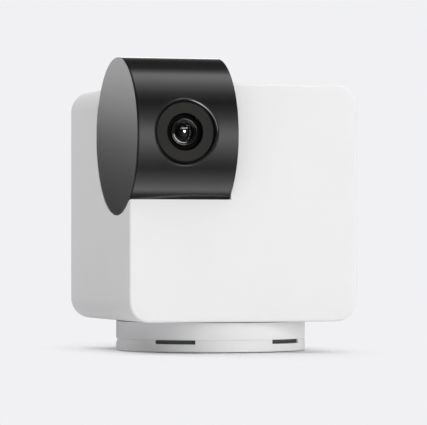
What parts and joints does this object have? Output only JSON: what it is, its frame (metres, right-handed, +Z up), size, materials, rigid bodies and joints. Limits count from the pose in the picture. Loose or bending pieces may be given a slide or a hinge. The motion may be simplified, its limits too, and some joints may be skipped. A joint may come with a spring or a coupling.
{
  "type": "pan and tilt pet camera",
  "caption": "Small indoor pet camera: a white rounded-square body turns on a round base, and a black lens drum tilts in its top corner.",
  "frame": {"origin": "middle of the base on the surface it stands on", "axes": "+Z up along the pan axis, -Y towards the front that the lens faces, +X to the right seen from the front"},
  "size_m": [0.08, 0.089, 0.0996],
  "materials": {
    "white_plastic": "fine satin moulded",
    "gloss_black": "polished",
    "satin_black": "satin",
    "window_black": "satin",
    "black_plastic": "matt",
    "grey_plastic": "satin",
    "ivory_plastic": "natural nylon",
    "acetal": "natural acetal",
    "foot_rubber": "matt",
    "foam": "foam",
    "dark_mesh": "matt",
    "brass": "turned",
    "steel": "stamped",
    "zinc_steel": "zinc plated",
    "steel_screws": "plated",
    "aluminium": "bare",
    "circuit_board": "solder mask",
    "paper_cone": "pressed film",
    "lens_glass": "coated",
    "sensor": "polished",
    "lamp_resin": "clear resin"
  },
  "bodies": {
    "base": {"base_tray": "white_plastic", "base_cover": "white_plastic", "foot_pad": "foot_rubber", "vent_mesh": "dark_mesh", "thread_insert": "brass", "ballast_plate": "zinc_steel", "base_screws": "steel_screws", "port_bezel": "white_plastic", "usb_inlet": "steel", "usb_tongue": "black_plastic", "power_board": "circuit_board", "power_parts": "black_plastic", "thrust_washer": "acetal", "pan_gear": "acetal", "retaining_clip": "steel"},
    "body": {"housing_shell": "white_plastic", "rear_cover": "white_plastic", "cover_screws": "steel_screws", "pan_bush": "acetal", "pan_motor": "zinc_steel", "tilt_bush": "acetal", "tilt_motor": "zinc_steel", "motor_screws": "steel_screws", "main_board": "circuit_board", "board_screws": "steel_screws", "board_sockets": "ivory_plastic", "processor_can": "steel", "heat_sink": "aluminium", "reset_switch": "black_plastic", "speaker_gasket": "foam", "speaker_frame": "zinc_steel", "speaker_cone": "paper_cone", "microphone": "steel", "wifi_antenna": "brass"},
    "drum": {"drum_shell": "gloss_black", "drum_cap": "satin_black", "lens_hood": "black_plastic", "ir_window": "window_black", "lens_barrel": "black_plastic", "front_glass": "lens_glass", "lens_iris": "black_plastic", "rear_glass": "lens_glass", "lens_holder": "black_plastic", "image_sensor": "sensor", "filter_glass": "lens_glass", "sensor_board": "circuit_board", "lamp_board": "circuit_board", "infrared_lamps": "lamp_resin", "camera_carrier": "aluminium", "carrier_screws": "steel_screws", "tilt_gear": "acetal", "tilt_gear_screws": "steel_screws"},
    "pan_pinion": {"pan_pinion": "acetal", "pan_shaft": "steel"},
    "tilt_pinion": {"tilt_pinion": "acetal", "tilt_shaft": "steel"},
    "reset_button": {"reset_button": "grey_plastic"}
  },
  "joints": [
    {"name": "pan", "type": "hinge", "parent": "base", "child": "body", "pos_m": [0, 0, 0.0121], "axis": [0, 0, 1], "range_deg": [-170, 170]},
    {"name": "tilt", "type": "hinge", "parent": "body", "child": "drum", "pos_m": [-0.02, -0.0233, 0.0732], "axis": [-1, 0, 0], "range_deg": [-26.6, 63.4]},
    {"name": "pan_pinion_spin", "type": "hinge", "parent": "body", "child": "pan_pinion", "pos_m": [-0.01442, 0.01442, 0.015], "axis": [0, 0, 1], "range_deg": [-560, 560]},
    {"name": "tilt_pinion_spin", "type": "hinge", "parent": "body", "child": "tilt_pinion", "pos_m": [0.003, -0.00836, 0.06776], "axis": [-1, 0, 0], "range_deg": [-165, 75]},
    {"name": "reset_press", "type": "slide", "parent": "body", "child": "reset_button", "axis": [0, -1, 0], "range_m": [0, 0.0004], "stiffness_N_per_m": 600}
  ],
  "couplings": [
    {"joint": "pan_pinion_spin", "follows": "pan", "ratio": 3.25},
    {"joint": "tilt_pinion_spin", "follows": "tilt", "ratio": -2.5333}
  ]
}
